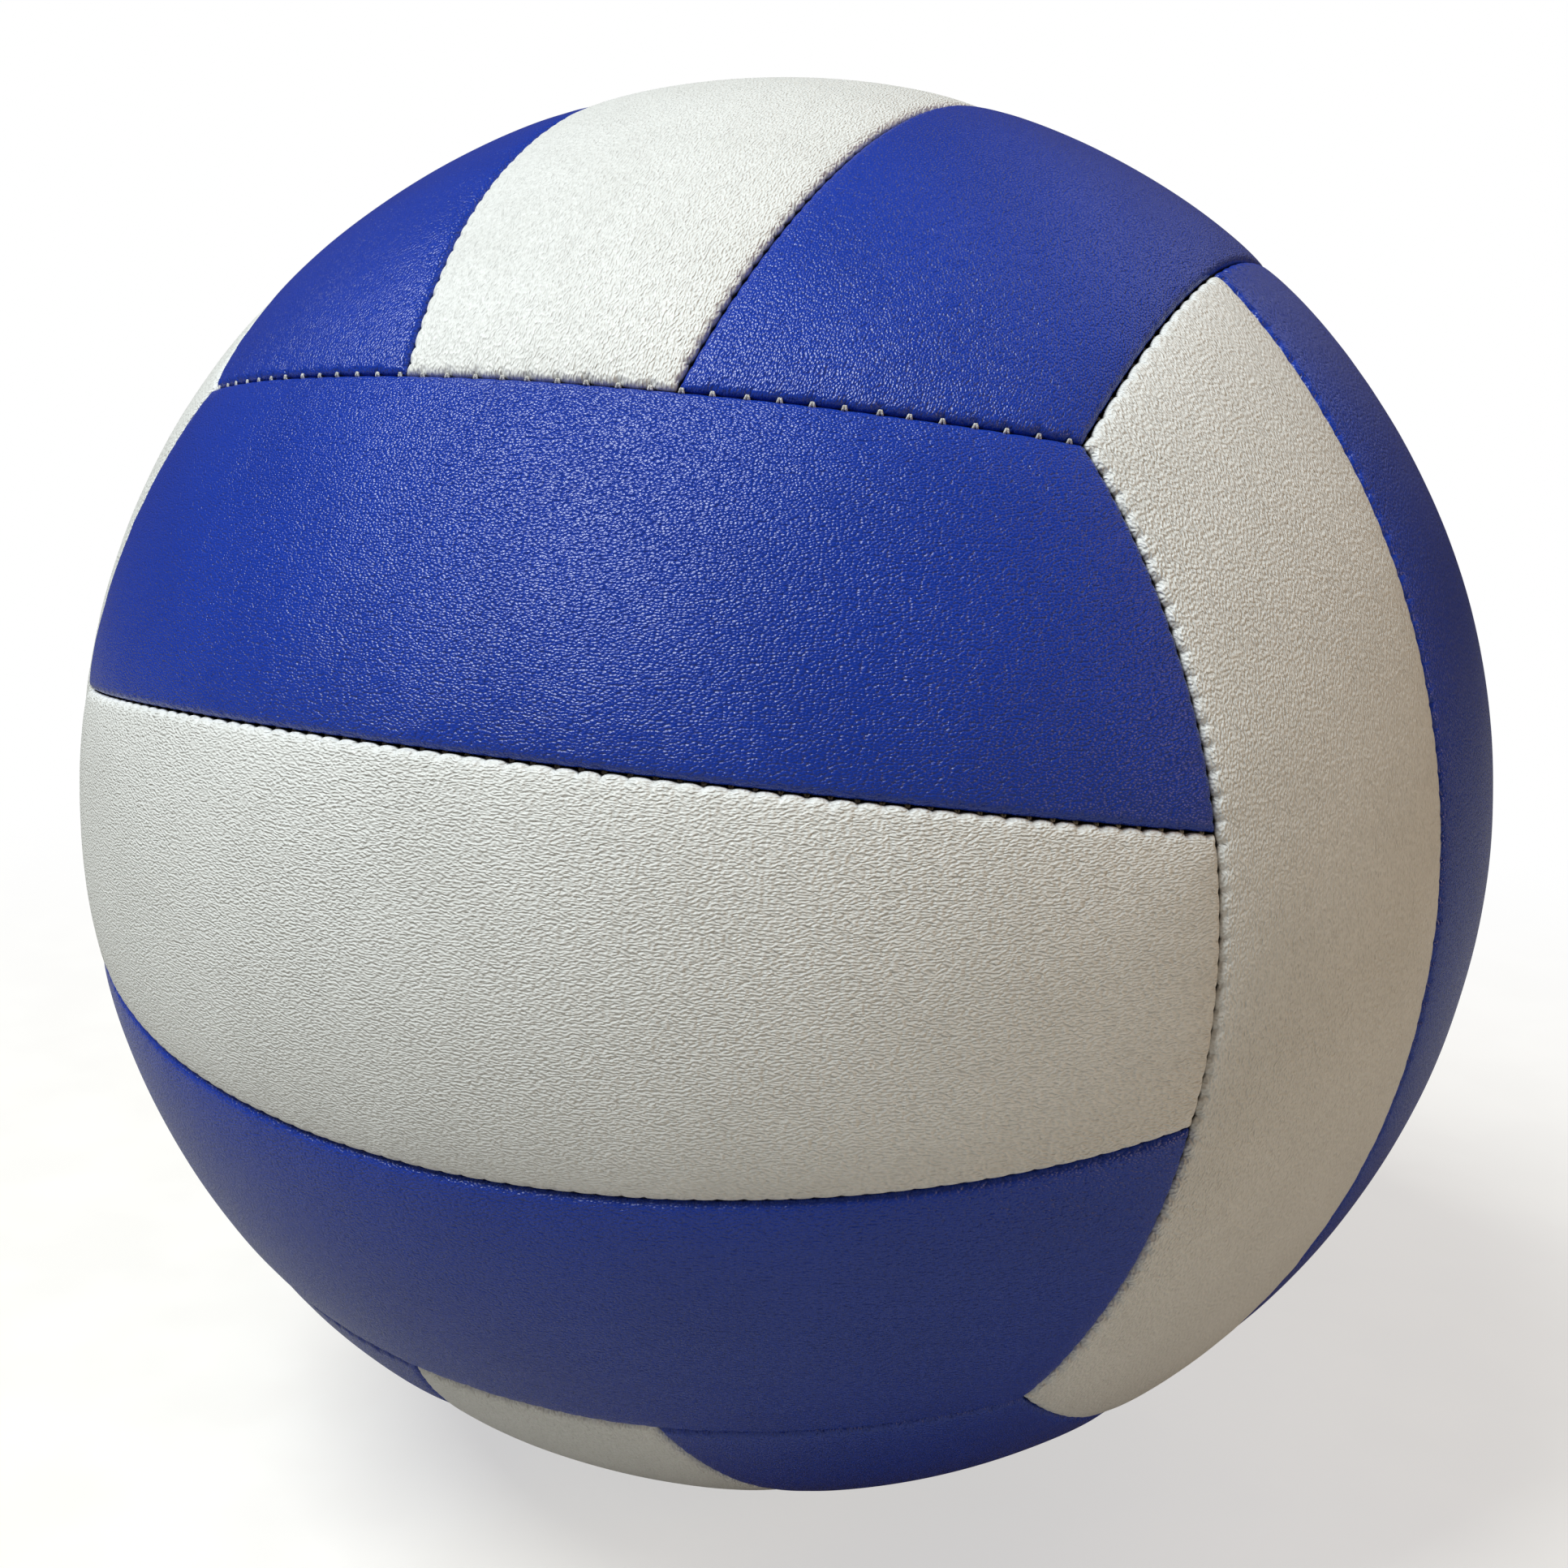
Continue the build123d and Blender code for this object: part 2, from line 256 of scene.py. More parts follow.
# Every seam once, in the ball's frame: strip seams by face and side, edge seams by face and end.
seams = {}
for face, (_, _, _, sides, ends) in FACES.items():
    rotation = face_rotation(face)
    for name, seam, turn in (
        (sides[0], strip_seam, np.eye(3)),
        (sides[1], strip_seam, HALF_TURN),
        (ends[0], end_seam, np.eye(3)),
        (ends[1], end_seam, HALF_TURN),
    ):
        seams[face, name] = seam.turned(rotation @ turn, len(seams) + 1)
for place in WIDE_STITCHES:
    seams[place].pitch = WIDE_STITCH_PITCH
for place in SHOWN_STITCHES:
    seams[place].thread_depth = SHOWN_STITCH_DEPTH
for place in NEIGHBOUR_HELD:
    seams[place].held_side *= -1
for place in SMOOTH_SEAMS:
    seams[place].hold = SLACK_SIDE


def seam_on_side(face, side):
    """The edge seam along a face's side: an end seam of the face that lies on that side."""
    neighbour = {"upper": "top", "lower": "bottom"}.get(side, side)
    return seams[neighbour, face]


def meeting(first, second, near):
    """Where two circles on the ball meet, of the two such points the one nearer to a direction."""
    (first_axis, first_cosine), (second_axis, second_cosine) = first, second
    mixed = first_axis @ second_axis
    first_share = (first_cosine - second_cosine * mixed) / (1 - mixed**2)
    second_share = (second_cosine - first_cosine * mixed) / (1 - mixed**2)
    flat = first_share * first_axis + second_share * second_axis
    normal = np.cross(first_axis, second_axis)
    reach = math.sqrt((1 - flat @ flat) / (normal @ normal))
    points = [flat + reach * normal, flat - reach * normal]
    return max(points, key=lambda point: point @ near)


def steps_along(length):
    """Places from 0 to 1 along a length, closer together at both ends, a whole number of inner steps."""
    low = np.array(EDGE_STEPS)
    inside = length - 2 * low[-1]
    # What is added makes a whole number of inner steps together with the steps at both ends.
    count = INNER_STEP * round(inside / GRID_STEP / INNER_STEP) + -2 * (len(low) - 1) % INNER_STEP
    middle = np.linspace(low[-1], length - low[-1], count + 1)[1:-1]
    return np.concatenate([low, middle, length - low[::-1]]) / length


def steps_round_valve(length):
    """Places from 0 to 1 along a length, with lines to its middle that become rings round the valve hole."""
    turns = np.linspace(-math.pi / 4, math.pi / 4, VALVE_LINES)
    rings = VALVE_HOLE + np.array(VALVE_RINGS)
    count = round((length / 2 - rings[-1]) / (2 * GRID_STEP))
    beyond = np.linspace(rings[-1], length / 2 - EDGE_STEPS[-1], count + 1)[1:]
    outside = np.concatenate([rings[1:], beyond, length / 2 - np.array(EDGE_STEPS[-2::-1])])
    return np.concatenate([-outside[::-1], VALVE_HOLE * np.tan(turns), outside]) / length + 0.5


def rings_round_valve(directions, row_places, column_places, length, width, rotation):
    """Turn a grid's squares round the valve into rings; also the distance from the valve, ring by ring."""
    along, across = np.meshgrid((row_places - 0.5) * length, (column_places - 0.5) * width, indexing="ij")
    flat = np.stack([along.ravel(), across.ravel()], axis=1)
    square = np.abs(flat).max(axis=1)
    share = (VALVE_REACH - square) / (VALVE_REACH - VALVE_HOLE - VALVE_RINGS[-1])
    share = smooth(np.clip(share, 0, 1))
    distance = np.maximum(np.linalg.norm(flat, axis=1), ROUNDING)
    ringed = flat * (square / distance)[:, None]
    height = np.sqrt(RADIUS**2 - (ringed**2).sum(axis=1, keepdims=True))
    target = np.concatenate([ringed, height], axis=1)
    moved = directions + share[:, None] * (target @ rotation.T / RADIUS - directions)
    return moved / np.linalg.norm(moved, axis=1)[:, None], square


def hole_lines(places, size):
    """First and last grid line at the valve hole, of lines at places from 0 to 1 along a size."""
    lines = np.flatnonzero(np.abs(places - 0.5) * size <= VALVE_HOLE + ROUNDING)
    return lines[0], lines[-1]


def edge_points(seam, side, first, last, places):
    """Directions along one side of a seam, at places from 0 to 1 between two corners."""
    start = seam.along(first[None])[0]
    end = seam.along(last[None])[0]
    return np.array([seam.point(start + (end - start) * place, side * HALF_GAP) for place in places])


def panel_grid(bounds, row_places, column_places):
    """Directions of a grid of points between four seams: low, high, left and right, each with its side."""
    circles = [(seam.axis, math.cos(seam.angle + side * HALF_GAP / RADIUS)) for seam, side in bounds]
    corners = []
    for row in (0, 1):
        for column in (2, 3):
            near = bounds[row][0].point(0, 0) + bounds[column][0].point(0, 0)
            corners.append(meeting(circles[row], circles[column], near / np.linalg.norm(near)))
    low_left, low_right, high_left, high_right = corners
    low = edge_points(*bounds[0], low_left, low_right, row_places)
    high = edge_points(*bounds[1], high_left, high_right, row_places)
    left = edge_points(*bounds[2], low_left, high_left, column_places)
    right = edge_points(*bounds[3], low_right, high_right, column_places)
    across, up = row_places[:, None, None], column_places[None, :, None]
    grid = (1 - up) * low[:, None] + up * high[:, None] + (1 - across) * left[None] + across * right[None]
    grid -= (1 - across) * (1 - up) * low_left + across * (1 - up) * low_right
    grid -= (1 - across) * up * high_left + across * up * high_right
    return grid / np.linalg.norm(grid, axis=2)[:, :, None]


def edge_roll(distance, roll):
    """How far an edge with a roll of a given radius has turned down, at a distance from it."""
    inside = np.maximum(roll - distance, 0)
    return roll - np.sqrt(np.maximum(roll**2 - inside**2, 0))


def puckers(seam, side, along, distance):
    """Depth of the faint puckers that run from a seam into the panel."""
    apart = np.full(len(along), seam.number * PUCKER_SEAM_STEP + side)
    place = np.stack([along / PUCKER_PITCH, distance / PUCKER_LENGTH, apart], axis=1)
    fade = np.exp(-distance / PUCKER_REACH) * np.minimum(distance / PUCKER_START, 1)
    return PUCKER * lattice_noise(place, PUCKER_SEED) * fade


def sewn_surface(bounds, points):
    """Outer surface over directions: rolled down to the seams, drawn in and pitted at every stitch."""
    depth = np.zeros(len(points))
    shift = np.zeros_like(points)
    for seam, side in bounds:
        held = seam.hold if side == seam.held_side else SLACK_SIDE
        distance = np.maximum(side * seam.aside(points) - HALF_GAP, 0)
        along = seam.along(points)
        scallop, pit = seam.stitch_pull(along)
        rolled = edge_roll(distance, ROLL + ROLL_AT_STITCH * held * scallop)
        rolled += PILLOW * np.exp(-distance / PILLOW_REACH)
        rolled += PIT * held * pit * np.exp(-(((distance - PIT_PLACE) / PIT_WIDTH) ** 2))
        rolled += puckers(seam, side, along, distance)
        depth += rolled**3
        drawn = NOTCH * held * scallop * np.exp(-distance / NOTCH_REACH)
        shift += side * seam.away(points) * drawn[:, None]
    depth = np.cbrt(depth)
    for dents in (BROAD_DENTS, SMALL_DENTS):
        depth += dents["depth"] * lattice_noise(points * RADIUS / dents["size"], dents["seed"])
    moved = points * RADIUS + shift
    moved /= np.linalg.norm(moved, axis=1)[:, None]
    return moved, RADIUS - depth


def ring_indices(rows, columns):
    """Indices of a grid's border, once round."""
    bottom = list(range(columns))
    right = [row * columns + columns - 1 for row in range(1, rows)]
    top = [(rows - 1) * columns + column for column in range(columns - 2, -1, -1)]
    left = [row * columns for row in range(rows - 2, 0, -1)]
    return np.array(bottom + right + top + left)


def grid_faces(rows, columns, start, flip, hole):
    """Quads of a grid whose first vertex has a given index, without those inside a hole's border lines."""
    row, column = np.meshgrid(np.arange(rows - 1), np.arange(columns - 1), indexing="ij")
    row, column = row.ravel(), column.ravel()
    if hole is not None:
        (low, high), (left, right) = hole
        kept = (row < low) | (row >= high) | (column < left) | (column >= right)
        row, column = row[kept], column[kept]
    corner = row * columns + column + start
    quads = np.stack([corner, corner + columns, corner + columns + 1, corner + 1], axis=1)
    return quads[:, ::-1] if flip else quads


def band_faces(upper, lower):
    """Quads of a closed band between two rings of vertices."""
    return np.stack([upper, np.roll(upper, -1), np.roll(lower, -1), lower], axis=1)


def tray_faces(rows, columns, inner_rows, inner_columns, step, hole):
    """Faces of a panel's tray: outer grid, wall, lip, inner grid with its rim, and the hole's wall."""
    border = ring_indices(rows, columns)
    ring = len(border)
    foot_ring = np.arange(ring) + rows * columns
    lip_ring = foot_ring + ring
    first_inner = rows * columns + 2 * ring
    faces = grid_faces(rows, columns, 0, False, hole).tolist()
    faces += band_faces(border, foot_ring).tolist()
    faces += band_faces(foot_ring, lip_ring).tolist()
    faces += grid_faces(inner_rows, inner_columns, first_inner, True, hole).tolist()
    coarse = ring_indices(inner_rows, inner_columns) + first_inner
    for place, (corner, after) in enumerate(zip(coarse, np.roll(coarse, -1))):
        fine = [lip_ring[(place * step + number) % ring] for number in range(step + 1)]
        faces.append([*fine, after, corner])
    if hole is not None:
        (low, high), (left, right) = hole
        block = np.arange(rows * columns).reshape(rows, columns)[low : high + 1, left : right + 1]
        rim = block.ravel()[ring_indices(*block.shape)]
        faces += band_faces(rim + first_inner, rim).tolist()
    return faces


def mesh_of(name, points, faces):
    """Mesh of points given in millimetres."""
    mesh = bpy.data.meshes.new(name)
    mesh.from_pydata((np.array(points) * MM).tolist(), [], faces)
    mesh.update()
    return mesh


def panel_mesh(name, bounds, length, width, valve_rotation):
    """Closed tray of a panel: sewn outer surface, turned-in walls and a plain inner surface."""
    has_valve = valve_rotation is not None
    steps = steps_round_valve if has_valve else steps_along
    places = steps(length), steps(width)
    rows, columns = len(places[0]), len(places[1])
    directions = panel_grid(bounds, *places).reshape(-1, 3)
    hole = None
    if has_valve:
        directions, ring_place = rings_round_valve(directions, *places, length, width, valve_rotation)
        hole = (hole_lines(places[0], length), hole_lines(places[1], width))
    outer_directions, outer_radius = sewn_surface(bounds, directions)
    if has_valve:
        outer_radius -= edge_roll(ring_place - VALVE_HOLE, VALVE_HOLE_ROLL)
    outer = outer_directions * outer_radius[:, None]
    border = ring_indices(rows, columns)
    inward = directions.mean(axis=0) - directions[border]
    inward /= np.linalg.norm(inward, axis=1)[:, None]
    foot = outer_directions[border] * (RADIUS - PANEL_DEPTH)
    lip = foot + inward * SKIN
    step = 1 if has_valve else INNER_STEP
    index = np.arange(rows * columns).reshape(rows, columns)[::step, ::step]
    inner = outer_directions[index.ravel()] * (RADIUS - SKIN - ROLL / 2)
    inner[ring_indices(*index.shape)] += inward[::step] * SKIN
    faces = tray_faces(rows, columns, *index.shape, step, hole)
    return mesh_of(name, np.concatenate([outer, foot, lip, inner]), faces)


def strand_points(seam, place, parting, spread, lift):
    """Rings of points round one strand of a stitch, from its hole across the groove."""
    turns = np.linspace(0, 2 * math.pi, STRAND_SIDES, endpoint=False)
    points = []
    for share in np.linspace(0, 1, STRAND_RINGS):
        aside = seam.held_side * (STRAND_START - STRAND_LENGTH * share)
        direction = seam.point(place + parting * STRAND_PARTING + spread * share, aside)
        tangent = seam.point(place + 1, aside) - seam.point(place - 1, aside)
        tangent /= np.linalg.norm(tangent)
        reach = RADIUS - (seam.thread_depth + lift + STRAND_DIP * share**2)
        for turn in turns:
            rise = reach + STRAND_RADIUS * math.cos(turn)
            points.append(direction * rise + tangent * STRAND_RADIUS * math.sin(turn))
    return points


def strand_faces(start):
    """Faces of one strand, its sides and both ends; its first point has a given index."""
    rings = start + np.arange(STRAND_RINGS * STRAND_SIDES).reshape(-1, STRAND_SIDES)
    faces = []
    for upper, lower in zip(rings[:-1], rings[1:]):
        faces += band_faces(upper, lower).tolist()
    faces.append(rings[0][::-1].tolist())
    faces.append(rings[-1].tolist())
    return faces


def stitch_mesh(name, chosen):
    """Stitches of some seams: at each, two strands that leave one hole and part as they cross the groove."""
    points = []
    faces = []
    for seam in chosen:
        random = np.random.default_rng(seam.number + STRAND_SEED)
        for place in seam.stitch_places():
            lift = random.uniform(-STRAND_LIFT, STRAND_LIFT)
            for parting in (-1, 1):
                spread = parting * random.uniform(*STRAND_SPREAD)
                faces += strand_faces(len(points))
                points += strand_points(seam, place, parting, spread, lift)
    return mesh_of(name, points, faces)


def make_piece(name, mesh, slot, material, *nodes):
    """Object of a mesh that rides on the ball, stands for CAD nodes and shows one material."""
    piece = bpy.data.objects.new(name, mesh)
    bpy.context.collection.objects.link(piece)
    mesh.materials.append(material)
    mesh.polygons.foreach_set("use_smooth", [True] * len(mesh.polygons))
    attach(piece, "root")
    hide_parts(*nodes)
    return piece


class NodeTree:
    """Short hand for building the node tree of a material or a world."""

    def __init__(self, owner):
        self.owner = owner
        owner.use_nodes = True
        self.tree = owner.node_tree
        self.tree.nodes.clear()

    def add(self, kind, settings=None, **sockets):
        """A node with its properties set and its sockets given values or links."""
        node = self.tree.nodes.new(kind)
        for key, value in (settings or {}).items():
            setattr(node, key, value)
        for key, value in sockets.items():
            self.put(node, key.replace("_", " "), value)
        return node

    def put(self, node, key, value):
        """Give one input socket, by its name or number, a value or a link from another node's output."""
        if isinstance(value, bpy.types.NodeSocket):
            self.tree.links.new(value, node.inputs[key])
        else:
            node.inputs[key].default_value = value

    def math(self, operation, first, second):
        """A math node's output."""
        node = self.add("ShaderNodeMath", {"operation": operation})
        self.put(node, 0, first)
        self.put(node, 1, second)
        return node.outputs[0]

    def vector(self, operation, *values):
        """A vector math node."""
        node = self.add("ShaderNodeVectorMath", {"operation": operation})
        for number, value in enumerate(values):
            self.put(node, number, value)
        return node

    def noise(self, place, scale, detail, roughness):
        """A noise texture's value."""
        node = self.add("ShaderNodeTexNoise", Vector=place, Scale=scale, Detail=detail, Roughness=roughness)
        return node.outputs["Fac"]

    def flat_noise(self, place, scale, detail, output="Fac"):
        """A noise texture's value or colour over a flat sheet."""
        settings = {"noise_dimensions": "2D"}
        node = self.add("ShaderNodeTexNoise", settings, Vector=place, Scale=scale, Detail=detail)
        return node.outputs[output]

    def ramp(self, value, low, high, first, last):
        """A value mapped from one range to another."""
        ends = dict(From_Min=low, From_Max=high, To_Min=first, To_Max=last)
        return self.add("ShaderNodeMapRange", Value=value, **ends).outputs["Result"]

    def mix(self, factor, first, last):
        """Two colours mixed. Only the numbers of the node's sockets tell colours from its other kinds."""
        node = self.add("ShaderNodeMix", {"data_type": "RGBA"})
        self.put(node, 0, factor)
        self.put(node, 6, first)
        self.put(node, 7, last)
        return node.outputs[2]

    def joined(self, kind, first, last, factor=None):
        """Two shaders added, or mixed by a factor."""
        node = self.add(kind)
        if factor is not None:
            self.put(node, 0, factor)
        self.put(node, -2, first)
        self.put(node, -1, last)
        return node.outputs[0]

    def surfaced(self, shader, kind="ShaderNodeOutputMaterial"):
        """The material or world that the tree belongs to, finished with a shader on its surface."""
        self.add(kind, Surface=shader)
        return self.owner

    def principled(self, tone, shine, bump):
        """The finished material, with a colour, a roughness and a bump."""
        normal = bump.outputs["Normal"]
        surface = self.add("ShaderNodeBsdfPrincipled", Base_Color=tone, Roughness=shine, Normal=normal)
        return self.surfaced(surface.outputs[0])


def material_tree(name):
    """Empty node tree of a new material."""
    return NodeTree(bpy.data.materials.new(name))


# Leather. Pebbles and ridges are counted per millimetre across the strip, and times the stretch along it.
# The pebbles' share is their part of the grain's height, and the relief is in metres.
# The second colour of each pair is mixed into the grain's creases as painted shade, and into random clouds
# as a darker tone.
BLUE, CREASE_SHADE_AND_CLOUD_BLUE = (0.0062, 0.039, 0.375, 1), (0.003, 0.016, 0.16, 1)
WHITE, CREASE_SHADE_AND_CLOUD_WHITE = (0.82, 0.82, 0.81, 1), (0.50, 0.49, 0.46, 1)
# Painted shade down in the seams: the leather takes this dark colour from the first depth below the ball's
# surface, in millimetres, and fully from the second; its walls and inner side are dark too.
SEAM_SHADE = (0.03, 0.026, 0.024, 1)
SEAM_SHADE_START = 1.15
SEAM_SHADE_FULL = 1.45
BLUE_GRAIN = dict(roughness=0.255, pebbles=3.4, ridges=3.9, stretch=0.6, pebble_share=0.8, relief=0.00011)
WHITE_GRAIN = dict(roughness=0.43, pebbles=3.2, ridges=3.8, stretch=0.46, pebble_share=0.4, relief=0.00018)
STRIP_MAP = "strip"
WARP = 0.35
WARP_SCALE = 0.4
PEBBLE_RANDOMNESS = 0.95
PEBBLE_DOME = 1.6
RIDGE_RANGE = (0.3, 0.7)
# Painted shade in the grain's creases: the grain heights it spans, and how much of the darker colour it
# mixes in.
CREASE_SHADE_RANGE = (0.15, 0.6)
CREASE_SHADE = 0.3
CLOUD_SCALE = 0.05
CLOUD_RANGE = (0.4, 0.7)
CLOUD_DARKNESS = 0.12
SHINE_RANGE = (0.2, 0.8)
CREASE_ROUGHNESS = 0.1


def grain_height(tree, strip, pebbles, ridges, stretch, pebble_share):
    """Height of the grain, about 0 to 1, from domed pebbles and short ridges along the strip."""
    bend = tree.flat_noise(strip, WARP_SCALE, detail=1.0, output="Color")
    warped = tree.vector("MULTIPLY_ADD", bend, (WARP, WARP, 0.0), strip).outputs[0]
    lain = tree.vector("MULTIPLY", warped, (stretch, 1.0, 1.0)).outputs[0]
    settings = {"voronoi_dimensions": "2D"}
    randomness = PEBBLE_RANDOMNESS
    cell = tree.add("ShaderNodeTexVoronoi", settings, Vector=lain, Scale=pebbles, Randomness=randomness)
    from_middle = cell.outputs["Distance"]
    fall = tree.math("MULTIPLY", tree.math("MULTIPLY", from_middle, from_middle), PEBBLE_DOME)
    dome = tree.math("SUBTRACT", 1.0, fall)
    ridge = tree.ramp(tree.flat_noise(lain, ridges, detail=0.0), *RIDGE_RANGE, 0.0, 1.0)
    pebbled = tree.math("MULTIPLY", dome, pebble_share)
    ridged = tree.math("MULTIPLY", ridge, 1.0 - pebble_share)
    return tree.math("ADD", pebbled, ridged)


def leather(name, colour, crease_shade_and_cloud, roughness, pebbles, ridges, stretch, pebble_share, relief):
    """Coated leather: grained, with painted shade in its creases, darker in random clouds, and with painted
    shade down in the seams.
    """
    tree = material_tree(name)
    strip = tree.add("ShaderNodeUVMap", {"uv_map": STRIP_MAP}).outputs["UV"]
    height = grain_height(tree, strip, pebbles, ridges, stretch, pebble_share)
    bump = tree.add("ShaderNodeBump", Height=height, Strength=1.0, Distance=relief)
    # Painted shade: the darker colour is mixed into the creases of the grain.
    tone = tree.mix(tree.ramp(height, *CREASE_SHADE_RANGE, CREASE_SHADE, 0.0), colour, crease_shade_and_cloud)
    cloud = tree.flat_noise(strip, CLOUD_SCALE, detail=3.0)
    tone = tree.mix(tree.ramp(cloud, *CLOUD_RANGE, 0.0, CLOUD_DARKNESS), tone, crease_shade_and_cloud)
    # Painted shade down in the seams: the deeper below the ball's surface, the darker.
    place = tree.add("ShaderNodeTexCoord").outputs["Object"]
    reach = tree.vector("LENGTH", place).outputs["Value"]
    seam_shade_mask = tree.ramp(reach, (RADIUS - SEAM_SHADE_FULL) * MM, (RADIUS - SEAM_SHADE_START) * MM, 1.0, 0.0)
    tone = tree.mix(seam_shade_mask, tone, SEAM_SHADE)
    shine = tree.ramp(height, *SHINE_RANGE, roughness + CREASE_ROUGHNESS, roughness)
    return tree.principled(tone, shine, bump)


# Thread, foam, cloth and rubber. Each has two colours, the scale of its grain per metre, its roughness and
# the strength of its relief, whose depth is in metres.
MOTTLE_RANGE = (0.7, 1.3)
MOTTLE_SIZE = 12
SOFT_SHINE_RANGE = (0.3, 0.7)
SOFT_SHINE_SPREAD = 0.08
SOFT_RELIEF = 0.0004


def soft_material(name, colour, dark, scale, roughness, bump):
    """Plain procedural material for thread, foam, cloth and rubber: mottled, with a fine relief."""
    tree = material_tree(name)
    place = tree.add("ShaderNodeTexCoord").outputs["Object"]
    grain = tree.noise(place, scale, detail=3.0, roughness=0.6)
    broad = tree.noise(place, scale / MOTTLE_SIZE, detail=2.0, roughness=0.5)
    tone = tree.mix(tree.ramp(tree.math("ADD", grain, broad), *MOTTLE_RANGE, 0.0, 1.0), dark, colour)
    relief = tree.add("ShaderNodeBump", Height=grain, Strength=bump, Distance=SOFT_RELIEF)
    smoothest, roughest = roughness - SOFT_SHINE_SPREAD, roughness + SOFT_SHINE_SPREAD
    shine = tree.ramp(grain, *SOFT_SHINE_RANGE, smoothest, roughest)
    return tree.principled(tone, shine, relief)


# So that panels differ, the grain of each is moved along its strip, by a step times the sum of the letter
# codes of its name, and across the strip by a share of this.
LETTER_STEP = 13.7
ACROSS_SHARE = 0.7


def strip_coordinates(mesh, rotation, name):
    """Coordinates for the grain, in millimetres on the strip, along it and across it."""
    places = np.empty(len(mesh.vertices) * 3)
    mesh.vertices.foreach_get("co", places)
    local = places.reshape(-1, 3) @ rotation
    local /= np.linalg.norm(local, axis=1)[:, None]
    along = np.arctan2(local[:, 0], local[:, 2]) * RADIUS
    across = np.arcsin(np.clip(local[:, 1], -1, 1)) * RADIUS
    apart = sum(ord(letter) for letter in name) * LETTER_STEP
    corners = np.empty(len(mesh.loops), dtype=np.int64)
    mesh.loops.foreach_get("vertex_index", corners)
    layer = mesh.uv_layers.new(name=STRIP_MAP)
    pairs = np.stack([along + apart, across + apart * ACROSS_SHARE], axis=1)[corners]
    layer.data.foreach_set("uv", pairs.ravel())


blue = leather("blue_leather", BLUE, CREASE_SHADE_AND_CLOUD_BLUE, **BLUE_GRAIN)
white = leather("white_leather", WHITE, CREASE_SHADE_AND_CLOUD_WHITE, **WHITE_GRAIN)
thread = soft_material("thread", (0.82, 0.81, 0.78, 1), (0.5, 0.48, 0.44, 1), 5200.0, 0.6, 0.6)


def face_panels(face):
    """A face's three panels: name, seams round it with its side of each, length and width."""
    sides, ends = FACES[face][3:]
    left_end = (seams[face, ends[1]], -1)
    right_end = (seams[face, ends[0]], -1)
    first_strip, second_strip = seams[face, sides[0]], seams[face, sides[1]]
    first_side, second_side = seam_on_side(face, sides[0]), seam_on_side(face, sides[1])
    middle = [(second_strip, 1), (first_strip, 1), left_end, right_end]
    first = [(first_strip, -1), (first_side, 1), left_end, right_end]
    second = [(second_strip, -1), (second_side, 1), right_end, left_end]
    return [
        ("middle", middle, MIDDLE_LENGTH, STRIP_WIDTH),
        (sides[0], first, strip_seam.length, SIDE_WIDTH),
        (sides[1], second, strip_seam.length, SIDE_WIDTH),
    ]


def make_panel(face, name, bounds, length, width):
    """One leather panel in the place of its CAD solid."""
    rotation = face_rotation(face)
    node = f"{face}_{name}_panel"
    is_white = (name == "middle") == (face in WHITE_MIDDLE)
    valve_rotation = rotation if node == VALVE_PANEL else None
    mesh = panel_mesh(node + "_leather", bounds, length, width, valve_rotation)
    strip_coordinates(mesh, rotation, node)
    slot = "white_cover" if is_white else "blue_cover"
    piece = make_piece(node + "_leather", mesh, slot, white if is_white else blue, node)


def make_stitches(name, chosen, node):
    """The stitches of some seams, in the place of their CAD threads."""
    make_piece(name, stitch_mesh(name, chosen), "thread", thread, node)


for face, (_, _, _, sides, ends) in FACES.items():
    for panel in face_panels(face):
        make_panel(face, *panel)
    make_stitches(f"{face}_strip_stitches", [seams[face, side] for side in sides], f"{face}_strip_threads")
    for end in ends:
        make_stitches(f"{face}_{end}_edge_stitches", [seams[face, end]], f"{face}_{end}_edge_thread")

# Looks of the CAD nodes that stay: the layers under the cover, the bladder and the valve.
foam = soft_material("foam", (0.74, 0.70, 0.60, 1), (0.5, 0.46, 0.38, 1), 900.0, 0.9, 0.8)
cloth = soft_material("cloth_lining", (0.77, 0.75, 0.70, 1), (0.6, 0.57, 0.5, 1), 1800.0, 0.85, 0.6)
butyl = soft_material("butyl_rubber", (0.035, 0.035, 0.037, 1), (0.02, 0.02, 0.02, 1), 500.0, 0.55, 0.25)
valve = soft_material("valve_rubber", (0.055, 0.055, 0.058, 1), (0.03, 0.03, 0.032, 1), 900.0, 0.5, 0.3)
core = soft_material("valve_core", (0.13, 0.125, 0.12, 1), (0.08, 0.078, 0.075, 1), 900.0, 0.45, 0.3)
NODE_LOOKS = {"foam_pads": foam, "lining": cloth, "bladder": butyl, "valve_body": valve, "valve_core": core}
for node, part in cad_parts.items():
    for ending, material in NODE_LOOKS.items():
        if node.endswith(ending):
            part.data.materials.clear()
            part.data.materials.append(material)

# Floor and world, in metres. The camera sees the floor pale and the far floor and the world white.
FLOOR_REACH = 6
FLOOR_COLOURS = (0.42, 0.40, 0.37, 1), (0.45, 0.43, 0.40, 1)
FLOOR_SPECKLE_SCALE = 40.0
FLOOR_SPECKLE_RANGE = (0.4, 0.6)
FLOOR_GLOW = 0.58
FLOOR_FADE_RANGE = (0.10, 0.45)
BACKDROP = (1, 1, 1, 1)
AMBIENT = (1.0, 0.77, 0.55, 1)
AMBIENT_STRENGTH = 0.09


